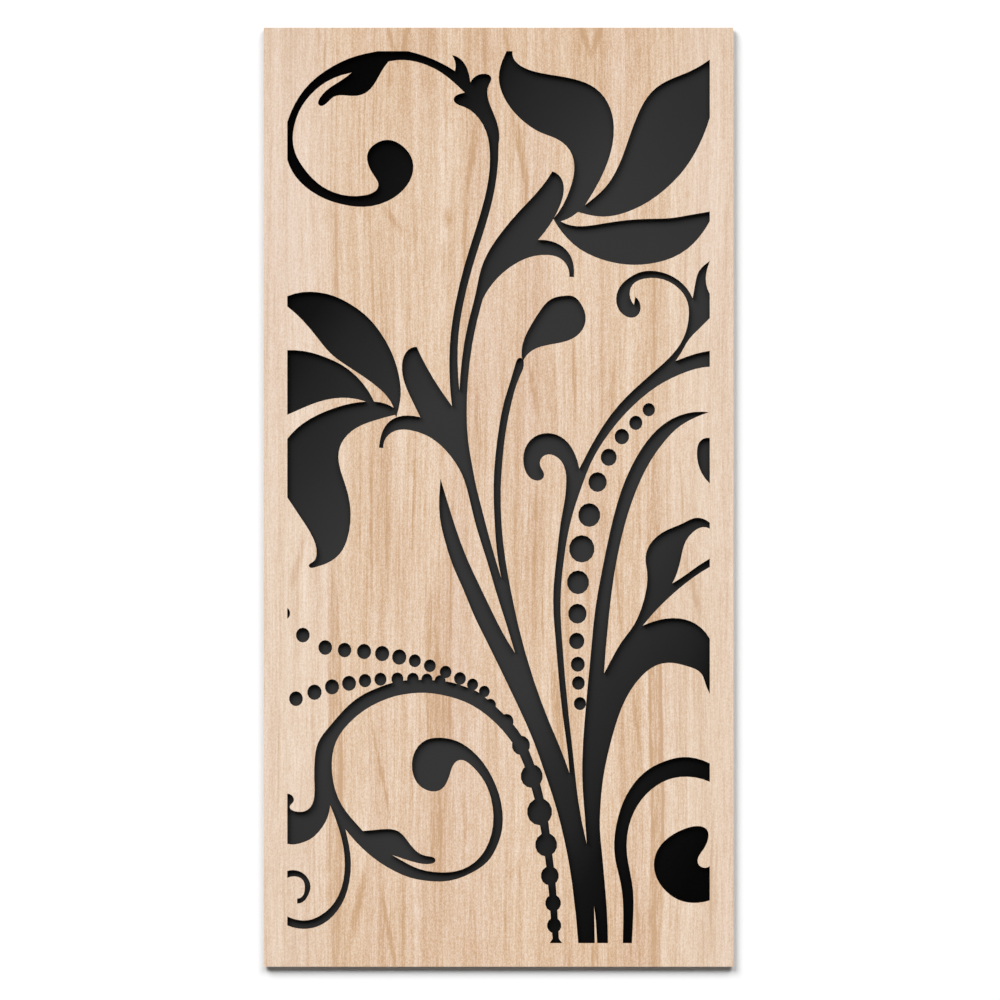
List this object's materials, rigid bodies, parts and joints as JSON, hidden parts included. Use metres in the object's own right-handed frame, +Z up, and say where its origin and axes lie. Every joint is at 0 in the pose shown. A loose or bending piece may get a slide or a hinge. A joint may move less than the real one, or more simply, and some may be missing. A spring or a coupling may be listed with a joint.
{
  "type": "laser-cut wall panel",
  "caption": "Tall flat wall panel: a pale oak-faced sheet pierced with a floral scroll of petals, stems and bead rows, on a black backing sheet.",
  "frame": {"origin": "middle of the backing sheet's rear face, where the panel lies against the wall", "axes": "+X to the viewer's right, +Y into the wall, +Z up; the pierced front looks along -Y"},
  "size_m": [0.6096, 0.0093, 1.2192],
  "materials": {
    "oak_face": "pale oak veneer, satin",
    "black_backing": "matt black"
  },
  "bodies": {
    "root": {"face_sheet": "oak_face", "back_sheet": "black_backing"}
  },
  "joints": []
}
